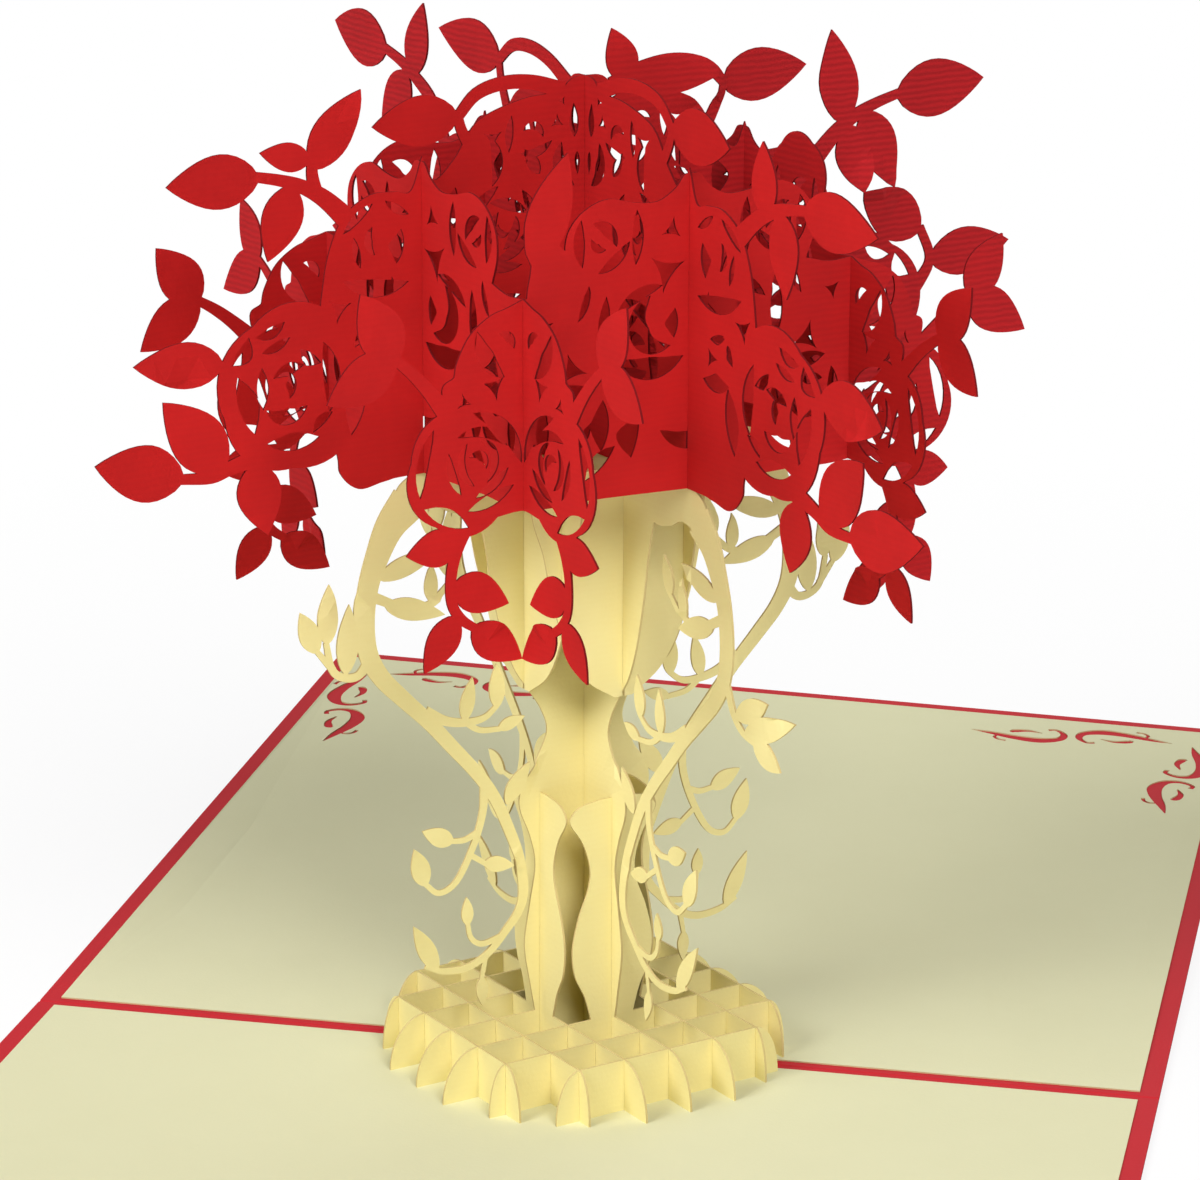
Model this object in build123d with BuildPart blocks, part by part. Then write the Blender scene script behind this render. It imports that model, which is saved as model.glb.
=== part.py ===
from build123d import *
import os
from math import cos, hypot, pi, radians, sin, sqrt

# Pop up card lying open: a red cover sheet with two pale liners, and on it a
# bouquet of roses in a vase, made of paper slices slotted together crosswise.
# Millimetres, +Z up, X along the fold, Y to the back, origin under the fold.
# P slices run along (1, 1) and Q slices along (1, -1). On a slice, u is the
# distance from the axis of the vase. The foot of the vase is drawn up from the
# liner, its top down from the rim, and the bouquet up from the rim.

# Card
CARD = 157.0          # side of the closed square card
COVER_T = 0.40        # cover thickness
LINER_T = 0.20        # liner thickness
BORDER = 2.7          # red border round each liner
FOLD_GAP = 1.5        # liner edge to fold line
SCORE_W = 0.8         # width of the scored fold line
SCORE_D = 0.15        # depth of the scored fold line
SCROLL_R = 4.6        # outer radius of a scroll's hook

# Slices
PAPER = 0.30          # slice thickness
PLAY = 0.03           # clearance each side of a sheet in its slot
OVER = 1.0            # overshoot of a slot past the edge it opens at
RINGS = 3             # base slices each side of the middle one
BASE_R = 27.4         # radius of the round base
PITCH = BASE_R / 3.914  # spacing of the base and lower vase slices, set by the base
BASE_H = 7.1          # height of the base
BASE_END = 1.5        # least sheet left beyond the last slot of a base slice
BODY_TOP = 38.2       # top of the lower vase slices
BODY_LAP = 19.0       # height where a lower vase slice meets a middle slice
VASE_LAP = 42.0       # height where the two middle vase slices meet
RIM = 84.7            # top of the vase and foot of the bouquet
BOWL_OFF = 9.4        # offset of the bowl slices
BOWL_R = 17.6         # radius of the bowl at its rim
BOWL_DROP = 0.4       # rim of the bowl slices below the rim of the vase
BOWL_LAP = 15.7       # below the rim, where a bowl slice meets a middle slice
BOWL_CROSS = 13.7     # below the rim, where two bowl slices meet
ROSE_OFF = 24.6       # offset of the outer bouquet slices
ROSE_LAP = 24.3       # above the rim, where the two middle bouquet slices meet
SIDE_LAP = 19.8       # above the rim, where an outer bouquet slice meets a middle one
SIDE_CROSS = 12.3     # above the rim, where two outer bouquet slices meet
TONGUE_IN = 11.5      # inner edge of the glue tongues that carry the bouquet
TONGUE_OUT = 19.0     # outer edge of the tongues
TONGUE_H = 6.5        # height of the tongues above the rim

# Foot of the vase: lower slices as (share of the pitch, height), middle slices
# as (wall beyond the pitch, height)
SIDE_BODY = [(0.44, BASE_H - OVER), (0.84, 13.8), (0.90, 17.6), (0.54, 26.0), (0.51, 29.0),
             (0.67, 32.5), (0.94, 35.4), (0.86, 37.2), (0.34, BODY_TOP)]
MID_BODY = [(0.7, BASE_H - OVER), (1.6, 11.0), (2.5, 16.8), (1.7, 22.5), (0.8, 28.0), (1.6, 32.2),
            (3.2, 36.4), (2.9, 39.4), (0.9, 42.5), (-1.0, 46.4)]

# Top of the vase: neck, bowl and arch of the handle as (u, drop below the rim)
NECK = [(6.8, 35.1), (9.0, 31.7)]
BOWL = [(9.5, 31.7), (10.9, 28.9), (12.4, 25.3), (13.5, 21.3), (14.6, 16.2), (15.5, 10.7), (16.7, 6.3)]
ARCH = [(18.6, 6.4), (20.9, 5.8), (23.0, 4.8), (25.3, 5.2), (27.4, 6.7), (29.0, 4.1), (28.6, 1.3),
        (25.6, 0)]

# Vines as (u, z, width) and leaves as (base u, base z, tip u, tip z, half width);
# z is the drop below the rim for the high ones, the height for the low ones
VINE_HIGH = [(26.9, 3.7, 5.6), (29.6, 6.5, 4.4), (31.7, 10.6, 3.4), (33.4, 17.0, 2.9), (33.2, 22.6, 2.7),
             (31.0, 26.8, 2.4), (24.2, 33.7, 2.0)]
VINE_LOW = [(17.2, 43.0, 1.8), (12.6, 35.6, 1.65), (10.3, 29.4, 1.5), (9.7, 24.6, 1.5), (12.6, 19.2, 1.2),
            (18.4, 15.5, 1.0), (25.0, 16.9, 0.5)]
SHOOTS_HIGH = [[(33.0, 24.1, 1.5), (35.4, 25.9, 1.2), (38.4, 24.2, 1.0), (39.2, 20.5, 0.8)],
               [(24.6, 32.3, 1.6), (21.5, 34.1, 1.3), (18.4, 34.8, 1.1), (13.6, 33.2, 0.7)],
               [(31.9, 15.7, 1.4), (27.2, 17.8, 1.1), (23.5, 17.5, 1.0), (20.4, 14.9, 0.7)]]
SHOOTS_LOW = [[(15.7, 41.2, 1.3), (16.0, 36.8, 1.1), (17.6, 32.2, 1.0), (20.4, 27.7, 0.9), (24.9, 28.6, 0.7)]]
LEAVES_HIGH = [(39.1, 20.9, 38.4, 13.0, 1.6), (38.9, 23.4, 43.1, 15.8, 1.5), (36.4, 25.4, 35.5, 16.1, 1.6),
               (18.7, 34.7, 17.7, 28.6, 1.1), (13.7, 33.7, 13.6, 27.6, 1.2), (20.6, 15.4, 19.6, 9.9, 1.1),
               (31.6, 13.3, 22.4, 10.5, 1.4), (30.6, 16.9, 21.9, 19.3, 1.5)]
LEAVES_LOW = [(24.7, 28.2, 26.7, 33.9, 1.4), (17.0, 33.6, 25.1, 35.9, 1.3), (23.0, 16.0, 27.0, 23.2, 1.3),
              (12.4, 37.4, 8.9, 42.9, 1.3)]

# Bouquet: half outlines as (u, z above the rim), roses as (u, z, radius, turn)
MID_DOME = [(0, 0), (25.6, 0), (34.3, -0.8), (36.9, 1.5), (37.6, 4.8), (42.0, 14.3), (38.0, 23.8),
            (37.5, 31.3), (35.0, 35.7), (26.4, 37.9), (24.6, 41.0), (22.4, 38.4), (16.4, 44.7), (4.6, 47.5),
            (2.2, 49.0), (0, 49.2)]
MID_ROSES = [(43.3, 13.5, 11.0, 200)]
MID_BUDS = [(12.4, 15.9, 9.6, 20), (31.4, 30.0, 6.8, 200), (12.4, 35.9, 8.0, 120)]
MID_STEMS = [[(43.0, 5.5, 3.0), (48.3, 5.3, 2.4), (53.6, 4.0, 1.8), (59.4, 3.9, 1.3)],
             [(34.0, 32.7, 3.0), (39.4, 37.8, 2.2), (44.0, 40.4, 1.6), (49.0, 41.7, 1.3)],
             [(3.6, 47.5, 2.2), (9.2, 49.8, 1.9), (15.6, 50.2, 1.7), (20.9, 47.1, 1.5)],
             [(20.9, 47.5, 1.4), (18.6, 41.7, 1.8)]]
MID_LEAVES = [(58.8, 3.8, 71.5, 7.4, 3.6), (53.2, 4.2, 61.3, 13.8, 3.6), (49.2, 4.7, 47.8, -4.7, 3.1),
              (53.0, 17.7, 65.2, 18.7, 3.0), (48.4, 41.5, 63.0, 42.2, 3.7), (43.6, 40.1, 47.6, 29.9, 3.1),
              (40.4, 38.5, 38.9, 50.7, 2.9), (20.5, 47.2, 34.8, 48.7, 3.5)]
TOP_LEAF = (6.4, 47.7, 3.6, 54.9, 2.4)
SIDE_DOME = [(0, 0), (14.6, 0.5), (25.2, -1.3), (32.0, 1.3), (35.0, 12.3), (36.2, 17.2), (34.3, 19.0),
             (31.6, 24.2), (24.6, 27.2), (17.4, 27.8), (18.6, 32.6), (16.8, 36.4), (12.4, 38.3),
             (4.6, 37.1), (1.6, 40.0), (0, 40.4)]
SIDE_ROSES = [(32.4, 6.5, 7.9, 230)]
SIDE_BUDS = [(16.4, 10.4, 7.8, 130), (13.0, 32.9, 5.2, 150), (5.8, 21.8, 4.8, 260)]
SIDE_STEMS = [[(34.6, 12.9, 2.6), (39.4, 17.2, 1.7), (44.0, 20.3, 1.2)],
              [(32.4, 0.9, 2.4), (34.6, -4.2, 1.7), (35.1, -8.6, 1.5), (33.6, -12.1, 1.3),
               (31.2, -13.8, 1.1)]]
SIDE_LEAVES = [(43.5, 19.8, 49.3, 27.5, 3.0), (43.4, 20.2, 52.5, 14.5, 2.9), (37.6, 12.5, 46.2, 5.3, 2.7),
               (33.8, -2.1, 41.2, -3.0, 2.4), (34.9, -7.4, 27.2, -10.8, 2.6), (34.2, -11.4, 38.8, -18.3, 2.3),
               (32.2, -13.3, 25.3, -18.3, 2.5)]

# Openings that draw a rose: (share of its radius, start, span, thickness as a
# share of its radius)
ROSE = [(0.84, 0, 120, 0.24), (0.80, 175, 115, 0.22), (0.46, 80, 160, 0.30)]
BUD = [(0.80, 0, 140, 0.28), (0.52, 170, 150, 0.30)]
CHORD = 6.0           # length of the straight runs that a crescent is drawn with

# Scrolls cut through the back liner: (inset from its side edge, inset from its
# back edge, turn, handed)
SCROLLS = [(5.2, 17.3, 80, 1), (5.2, 32.1, -80, -1), (32.0, 7.7, 180, 1), (17.8, 7.7, 180, -1)]

# Where along its length a leaf's edge has corners: a broad leaf and a small one
BROAD = (0.30, 0.68)
SMALL = (0.42,)

Z0 = COVER_T + LINER_T
LINER_W = CARD - 2 * BORDER
LINER_D = CARD - BORDER - FOLD_GAP
LINER_Y = FOLD_GAP + LINER_D / 2


def mirrored(half):
    """Closed outline from the half of it at positive u."""
    return half + [(-u, z) for u, z in reversed(half)]


def both(shapes):
    """Each outline and its mirror image across the axis."""
    return shapes + [[(-u, z) for u, z in pts] for pts in shapes]


def hung(path):
    """Points given by their drop below the rim, as heights."""
    return [(u, RIM - drop, *width) for u, drop, *width in path]


def hung_leaf(base_u, base_drop, tip_u, tip_drop, half):
    """A leaf given by drops below the rim, as heights."""
    return base_u, RIM - base_drop, tip_u, RIM - tip_drop, half


def leaf(base_u, base_z, tip_u, tip_z, half, stations=BROAD):
    """Pointed leaf from base to tip, fullest nearer the base."""
    du, dz = tip_u - base_u, tip_z - base_z
    length = hypot(du, dz)
    nu, nz = -dz / length, du / length
    rim = [(t, half * sin(pi * t ** 0.8)) for t in stations]
    near = [(base_u + du * t + nu * w, base_z + dz * t + nz * w) for t, w in rim]
    far = [(base_u + du * t - nu * w, base_z + dz * t - nz * w) for t, w in reversed(rim)]
    return [(base_u, base_z)] + near + [(tip_u, tip_z)] + far


def ribbon(path):
    """Strip of changing width along a path of (u, z, width) points."""
    left, right = [], []
    for k, (u, z, w) in enumerate(path):
        u0, z0, _ = path[max(k - 1, 0)]
        u1, z1, _ = path[min(k + 1, len(path) - 1)]
        length = hypot(u1 - u0, z1 - z0)
        nu, nz = -(z1 - z0) / length * w / 2, (u1 - u0) / length * w / 2
        left.append((u + nu, z + nz))
        right.append((u - nu, z - nz))
    return left + right[::-1]


def flower(u, z, r, turn):
    """Scalloped outline of a rose with five petals."""
    angles = [radians(turn + 36 * k) for k in range(10)]
    rim = [(r if k % 2 else 0.93 * r) for k in range(10)]
    return [(u + p * cos(a), z + p * sin(a)) for p, a in zip(rim, angles)]


def crescent(u, z, r, start, span, thick):
    """Crescent opening, pointed at both ends."""
    steps = max(2, round(r * radians(span) / CHORD))
    outer, inner = [], []
    for k in range(steps + 1):
        a = radians(start + span * k / steps)
        outer.append((u + r * cos(a), z + r * sin(a)))
        if 0 < k < steps:
            inside = r - thick * sin(pi * k / steps)
            inner.append((u + inside * cos(a), z + inside * sin(a)))
    return outer + inner[::-1]


def petals(pattern, u, z, r, turn):
    """The openings that draw one rose."""
    return [crescent(u, z, share * r, turn + start, span, thick * r) for share, start, span, thick in pattern]


def slit(u, low, high):
    """Slot for a crossing sheet."""
    w = PAPER / 2 + PLAY
    return [(u - w, low), (u + w, low), (u + w, high), (u - w, high)]


def sheet(adds, cuts):
    """Flat sheet from outlines to join and outlines to cut away."""
    with BuildSketch() as flat:
        add([Polygon(*pts, align=None, mode=Mode.PRIVATE) for pts in adds])
        add([Polygon(*pts, align=None, mode=Mode.PRIVATE) for pts in cuts], mode=Mode.SUBTRACT)
    return flat.sketch


def crossings(k):
    """Numbers of the base slices that cross base slice k."""
    return [m for m in range(-RINGS, RINGS + 1) if hypot(k, m) * PITCH <= BASE_R - BASE_END]


def base_outline(k):
    """Base strip of slice k, round in plan, with rounded ends."""
    last = crossings(k)[-1]
    half = min(sqrt(BASE_R ** 2 - (k * PITCH) ** 2), (last + 1) * PITCH - BASE_END)
    shoulder = last * PITCH
    turns = [pi / 2 * t / 3 for t in range(4)]
    return mirrored([(shoulder + (half - shoulder) * cos(a), BASE_H * sin(a)) for a in turns])


def base_slits(k, top, skip=()):
    """Half slots of base slice k, open at the top or at the bottom."""
    span = (BASE_H / 2, BASE_H + OVER) if top else (-OVER, BASE_H / 2)
    return [slit(m * PITCH, *span) for m in crossings(k) if m not in skip]


def base_sheet(k, top):
    """A slice of the base alone."""
    return sheet([base_outline(k)], base_slits(k, top))


def body_sheet(top):
    """A slice of the base and the lower vase."""
    body = mirrored([(share * PITCH, z) for share, z in SIDE_BODY])
    cuts = base_slits(1, top, (0,)) + [slit(0, BODY_LAP, BODY_TOP + OVER)]
    return sheet([base_outline(1), body], cuts)


def vase_sheet(top):
    """A middle slice: base, vase, handles with vines, tongues for the bouquet."""
    body = mirrored([(PITCH + wall, z) for wall, z in MID_BODY] + hung(NECK + BOWL[1:] + ARCH))
    tongue = [(TONGUE_IN, RIM - OVER), (TONGUE_OUT, RIM - OVER), (TONGUE_OUT, RIM + TONGUE_H),
              (TONGUE_IN, RIM + TONGUE_H)]
    vines = [hung(VINE_HIGH) + VINE_LOW] + [hung(path) for path in SHOOTS_HIGH] + SHOOTS_LOW
    leaves = [hung_leaf(*size) for size in LEAVES_HIGH] + LEAVES_LOW
    side = [tongue] + [ribbon(path) for path in vines] + [leaf(*size, SMALL) for size in leaves]
    cuts = base_slits(0, top, (-1, 0, 1))
    for m in (-1, 1):
        cuts.append(slit(m * PITCH, -OVER, BODY_LAP))
        cuts.append(slit(m * BOWL_OFF, RIM - BOWL_LAP, RIM + OVER))
    cuts.append(slit(0, VASE_LAP, RIM + OVER) if top else slit(0, -OVER, VASE_LAP))
    return sheet([base_outline(0), body] + both(side), cuts)


def bowl_sheet(top):
    """A slice of the bowl beside the middle."""
    wall = [(r, drop) for r, drop in BOWL if r > BOWL_OFF] + [(BOWL_R, BOWL_DROP)]
    body = mirrored(hung([(sqrt(r * r - BOWL_OFF ** 2), drop) for r, drop in wall]))
    foot = RIM - wall[0][1] - OVER
    cross = (RIM - BOWL_CROSS, RIM) if top else (foot, RIM - BOWL_CROSS)
    cuts = [slit(0, foot, RIM - BOWL_LAP)] + [slit(m * BOWL_OFF, *cross) for m in (-1, 1)]
    return sheet([body], cuts)


def rose_mid_sheet(top, axis):
    """A middle bouquet slice; axis is where the other middle slice crosses it."""
    side = [flower(*MID_ROSES[0])] + [ribbon(path) for path in MID_STEMS]
    side += [leaf(*size) for size in MID_LEAVES]
    drawn = [c for rose in MID_ROSES for c in petals(ROSE, *rose)]
    drawn += [c for bud in MID_BUDS for c in petals(BUD, *bud)]
    cuts = both(drawn) + [slit(m * ROSE_OFF, -OVER, SIDE_LAP) for m in (-1, 1)]
    cuts.append(slit(axis, ROSE_LAP, MID_DOME[-1][1] + OVER) if top else slit(axis, -OVER, ROSE_LAP))
    return sheet([mirrored(MID_DOME), leaf(*TOP_LEAF)] + both(side), cuts)


def rose_side_sheet(top, axis):
    """An outer bouquet slice; axis is where the middle slice crosses it."""
    side = [flower(*SIDE_ROSES[0])] + [ribbon(path) for path in SIDE_STEMS]
    side += [leaf(*size) for size in SIDE_LEAVES]
    drawn = [c for rose in SIDE_ROSES for c in petals(ROSE, *rose)]
    drawn += [c for bud in SIDE_BUDS for c in petals(BUD, *bud)]
    high = SIDE_DOME[-1][1] + OVER
    low = min(z for _, z in SIDE_DOME) - OVER
    cross = (SIDE_CROSS, high) if top else (low, SIDE_CROSS)
    cuts = both(drawn) + [slit(m * ROSE_OFF, *cross) for m in (-1, 1)] + [slit(axis, SIDE_LAP, high)]
    return sheet([mirrored(SIDE_DOME)] + both(side), cuts)


def scroll(inset_x, inset_y, turn, hand):
    """Curled flourish of the back liner: a hooked crescent and its tail."""
    hook = crescent(0, 0, SCROLL_R, 40, 250, 0.48 * SCROLL_R)
    tail = leaf(0.2 * SCROLL_R, -0.8 * SCROLL_R, 1.6 * SCROLL_R, 0.25 * SCROLL_R, 0.17 * SCROLL_R, SMALL)
    x, y = LINER_W / 2 - inset_x, CARD - BORDER - inset_y
    c, s = cos(radians(turn)), sin(radians(turn))
    return [[(x + c * a - s * b * hand, y + s * a + c * b * hand) for a, b in pts] for pts in (hook, tail)]


def p_plane(offset, height):
    """Drawing plane of the P slice at this offset to the front right."""
    d = offset / sqrt(2)
    return Plane(origin=(d, -d, Z0 + height), x_dir=(1, 1, 0), z_dir=(1, -1, 0))


def q_plane(offset, height):
    """Drawing plane of the Q slice at this offset to the front left."""
    d = offset / sqrt(2)
    return Plane(origin=(-d, -d, Z0 + height), x_dir=(1, -1, 0), z_dir=(-1, -1, 0))


os.makedirs("parts", exist_ok=True)

with BuildPart() as cover:
    Box(CARD, 2 * CARD, COVER_T, align=(Align.CENTER, Align.CENTER, Align.MIN))
    with BuildSketch(Plane.XY.offset(COVER_T)):
        Rectangle(CARD, SCORE_W)
    extrude(amount=-SCORE_D, mode=Mode.SUBTRACT)
cover.part.label = "cover"
export_step(cover.part, "parts/cover.step")

with BuildPart() as liner_front:
    with BuildSketch(Plane.XY.offset(COVER_T)):
        with Locations((0, -LINER_Y)):
            Rectangle(LINER_W, LINER_D)
    extrude(amount=LINER_T)
liner_front.part.label = "liner_front"
export_step(liner_front.part, "parts/liner_front.step")

with BuildPart() as liner_back:
    with BuildSketch(Plane.XY.offset(COVER_T)):
        with Locations((0, LINER_Y)):
            Rectangle(LINER_W, LINER_D)
        add(sheet(both([cut for place in SCROLLS for cut in scroll(*place)]), []), mode=Mode.SUBTRACT)
    extrude(amount=LINER_T)
liner_back.part.label = "liner_back"
export_step(liner_back.part, "parts/liner_back.step")

# Each family of slices, with its slots open at the top on P and at the bottom
# on Q. The middle bouquet slices are glued to the near face of the tongues, so
# each stands one sheet off the vase slice below it.
for family, place, top, axis in (("p", p_plane, True, -PAPER), ("q", q_plane, False, PAPER)):
    slices = [(f"vase_{family}", place(0, 0), vase_sheet(top)),
              (f"rose_{family}_mid", place(PAPER, RIM), rose_mid_sheet(top, axis))]
    paired = [("body", "", PITCH, 0, body_sheet(top)),
              ("base", "_2", 2 * PITCH, 0, base_sheet(2, top)),
              ("base", "_3", 3 * PITCH, 0, base_sheet(3, top)),
              ("bowl", "", BOWL_OFF, 0, bowl_sheet(top)),
              ("rose", "", ROSE_OFF, RIM, rose_side_sheet(top, axis))]
    for kind, number, offset, height, flat in paired:
        slices.append((f"{kind}_{family}_front{number}", place(offset, height), flat))
        slices.append((f"{kind}_{family}_back{number}", place(-offset, height), flat))
    for name, plane, flat in slices:
        with BuildPart() as piece:
            with BuildSketch(plane):
                add(flat)
            extrude(amount=PAPER / 2, both=True)
        piece.part.label = name
        export_step(piece.part, f"parts/{name}.step")
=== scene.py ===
import math
import bpy
from mathutils import Matrix, Vector
from mathutils.geometry import delaunay_2d_cdt


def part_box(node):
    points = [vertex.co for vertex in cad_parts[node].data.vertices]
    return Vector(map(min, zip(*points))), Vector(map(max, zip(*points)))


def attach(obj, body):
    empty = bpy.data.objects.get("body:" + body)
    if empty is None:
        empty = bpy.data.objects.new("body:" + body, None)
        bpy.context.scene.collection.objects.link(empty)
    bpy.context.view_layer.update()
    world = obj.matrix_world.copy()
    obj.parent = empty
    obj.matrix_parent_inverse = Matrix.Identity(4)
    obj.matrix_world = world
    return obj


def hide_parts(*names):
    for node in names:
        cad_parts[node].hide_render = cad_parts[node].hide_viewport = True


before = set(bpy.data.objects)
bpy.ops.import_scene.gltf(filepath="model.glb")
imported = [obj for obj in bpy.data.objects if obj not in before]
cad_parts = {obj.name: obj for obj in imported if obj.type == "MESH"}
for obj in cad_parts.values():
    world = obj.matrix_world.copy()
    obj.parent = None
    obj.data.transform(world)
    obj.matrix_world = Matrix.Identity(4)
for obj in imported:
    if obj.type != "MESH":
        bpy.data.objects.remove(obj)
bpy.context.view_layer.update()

# Pop up card lying open, with a bouquet of roses in a vase cut from slotted
# paper slices. Outlines are in millimetres on each slice: u runs along it from
# the axis of the vase. The foot of the vase is drawn up from the liner, its top
# down from the rim, and the bouquet up from the rim. Meshes are in metres.

MM = 0.001            # metres in a millimetre

# Sizes taken over from the frame
CARD_LOW, CARD_HIGH = (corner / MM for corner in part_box("cover"))
LINER_LOW, LINER_HIGH = (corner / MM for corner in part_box("liner_back"))
LINER_TOP = LINER_HIGH.z
FRONT_LOW, FRONT_HIGH = (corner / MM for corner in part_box("liner_front"))

# Slices
PAPER = 0.30          # slice thickness
SLOT = 0.36           # width of a slot: the sheet that crosses, with a little play
OVER = 1.0            # overshoot of a slot past the edge it opens at
RINGS = 3             # base slices each side of the middle one
BASE_R = 27.4         # radius of the round base
PITCH = BASE_R / 3.914  # spacing of the base and lower vase slices, set by the base
BASE_H = 7.1          # height of the base
BASE_END = 1.5        # least sheet left beyond the last slot of a base slice
BODY_TOP = 38.2       # top of the lower vase slices
BODY_LAP = 19.0       # height where a lower vase slice meets a middle slice
VASE_LAP = 42.0       # height where the two middle vase slices meet
RIM = 84.7            # top of the vase and foot of the bouquet
BOWL_OFF = 9.4        # offset of the bowl slices
BOWL_R = 17.6         # radius of the bowl at its rim
BOWL_DROP = 0.4       # rim of the bowl slices below the rim of the vase
BOWL_LAP = 15.7       # below the rim, where a bowl slice meets a middle slice
BOWL_CROSS = 13.7     # below the rim, where two bowl slices meet
ROSE_OFF = 24.6       # offset of the outer bouquet slices
ROSE_LAP = 24.3       # above the rim, where the two middle bouquet slices meet
SIDE_LAP = 19.8       # above the rim, where an outer bouquet slice meets a middle one
SIDE_CROSS = 12.3     # above the rim, where two outer bouquet slices meet
TONGUE_IN = 11.5      # inner edge of the glue tongues that carry the bouquet
TONGUE_OUT = 19.0     # outer edge of the tongues
TONGUE_H = 6.5        # height of the tongues above the rim

# Forms
LEAF_BELLY = 0.8      # under 1, a leaf is widest nearer its base
LEAF_ROUND = 0.9      # under 1, a leaf is rounder
LEAF_CURL = 0.07      # rise of a leaf's tip, as a share of its length
LEAF_COUNTER = -0.7   # every other leaf curls the other way, by this share
PETALS = 5            # petals round a rose
PETAL_LOW = 0.93      # a rose's outline between two petals, as a share of its radius
PETAL_RISE = 0.07     # how much further a petal reaches
ARC_BLUNT = 0.6       # under 1, a crescent is fuller towards its ends
FULLER = 1.55         # openings drawn this much wider than measured

# How finely outlines and sheets are divided
CURVE_STEPS = 6       # parts of a smooth outline between two of its points
STEM_STEPS = 5        # the same along a stem
LEAF_STEPS = 12       # parts along a leaf
ARC_STEP = 9          # degrees in a part of a crescent
ARC_LEAST = 8         # fewest parts of a crescent
ROUND_STEPS = 12      # parts of the rounded end of a base strip
FLOWER_STEPS = 60     # points round a rose
GAP_STEPS = 24        # points round a gap
MESH_STEP = 3.0       # spacing of the extra points that let a slice curl
CARD_STEP = 6.0       # the same on the card
INSIDE = 1            # the triangulation keeps what lies inside the outlines
MERGE = 1e-4          # points nearer than this become one

# Card: scored fold, and the lift of the back half off the table
SCORE_W = 0.8         # width of the score
SCORE_D = 0.15        # depth of the score
ON_FOLD = 0.01        # a point this near the fold lies on it
CURL_FROM = 28.0      # distance behind the fold where the lift begins
CURL_MIDDLE = 2.7     # lift at the middle of the back edge
CURL_SKEW = 1.7       # more than that at the left corner, less at the right one
CURL_POWER = 1.2      # how the lift grows towards the back edge

# Paper: grain of its colour and relief; painted shade, a darker colour, and stronger laid lines
# set in between two distances from the fold, towards the back of the card, in metres
PAPER_SPECULAR = 0.12
MOTTLE = {"Scale": 90.0, "Detail": 4.0, "Roughness": 0.6}
LAID = {"Scale": 390.0, "Distortion": 2.2, "Detail": 2.0, "Detail Scale": 1.2}
FIBRE = {"Scale": 1800.0, "Detail": 3.0}
RELIEF = {"Strength": 0.12, "Distance": 0.0002}
SHADE_AND_LINES_FROM, SHADE_AND_LINES_TO = -0.008, 0.022
SHADE_AND_LINES_AT_FRONT = 0.12    # share of them at the front
MOTTLE_SHARE = 0.5    # how far mottle and lines go towards the second colour

# Cut edge
EDGE_ROUGH = 0.9
EDGE_SPECULAR = 0.05
BROWNING = {"Scale": 220.0, "Detail": 2.0}

# Sockets of a node that mixes two colours
MIX_SHARE, MIX_A, MIX_B, MIX_OUT = 0, 6, 7, 2

# Floor in metres: it glows white to the camera, less so near the card
FLOOR_REACH = 4.0
FLOOR_Z = -0.0003
FLOOR_TONE = (0.9, 0.9, 0.9, 1)
FLOOR_ROUGH = 0.9
GLOW = {"From Min": 0.12, "From Max": 0.34, "To Min": 0.80, "To Max": 1.0}

# Lamps as (name, place, aim, size, watts), in metres
LAMPS = [("key", (0.85, -1.40, 1.50), (0, 0, 0.05), 1.2, 37.0),
         ("fill", (-1.20, -1.50, 1.40), (0, 0, 0.06), 1.2, 38.5),
         ("rear", (0.30, 1.90, 1.40), (0, 0, 0.06), 1.6, 14.0)]
WORLD_LEVEL = 0.08    # light of the surroundings

# Camera: place in metres, measured up from the liner, with its right and
# forward directions; sensor and lens in millimetres
CAMERA_PLACE = (0.1155, -0.5195, 0.2202)
CAMERA_RIGHT = (0.9768, 0.2142, 0.0032)
CAMERA_FORWARD = (-0.2048, 0.9380, -0.2797)
SENSOR = 36.0
LENS = 125.4
CLIP_FROM, CLIP_TO = 0.05, 20.0

# Foot of the vase: lower slices as (share of the pitch, height), middle slices
# as (wall beyond the pitch, height)
SIDE_BODY = [(0.44, BASE_H - OVER), (0.62, 10.5), (0.84, 13.8), (0.90, 17.6), (0.76, 22.0), (0.54, 26.0),
             (0.51, 29.0), (0.67, 32.5), (0.94, 35.4), (0.92, 36.6), (0.72, 37.7), (0.30, BODY_TOP)]
MID_BODY = [(0.7, BASE_H - OVER), (1.6, 11.0), (2.5, 16.8), (1.7, 22.5), (0.8, 28.0), (1.6, 32.2),
            (3.2, 36.4), (2.9, 39.4), (0.9, 42.5), (-1.0, 46.4)]

# Top of the vase as (u, drop below the rim); a repeated point is a corner
NECK = [(6.8, 35.1), (9.0, 31.7)]
BOWL = [(9.5, 31.7), (10.9, 28.9), (12.4, 25.3), (13.5, 21.3), (14.6, 16.2), (15.5, 10.7), (16.7, 6.3)]
ARCH = [(16.7, 6.3), (18.6, 6.4), (20.9, 5.8), (20.9, 5.8), (23.0, 4.8), (25.3, 5.2), (27.4, 6.7),
        (27.4, 6.7), (29.0, 4.1), (28.4, 1.6), (26.4, 0.2), (24.6, 0), (24.6, 0)]

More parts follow.
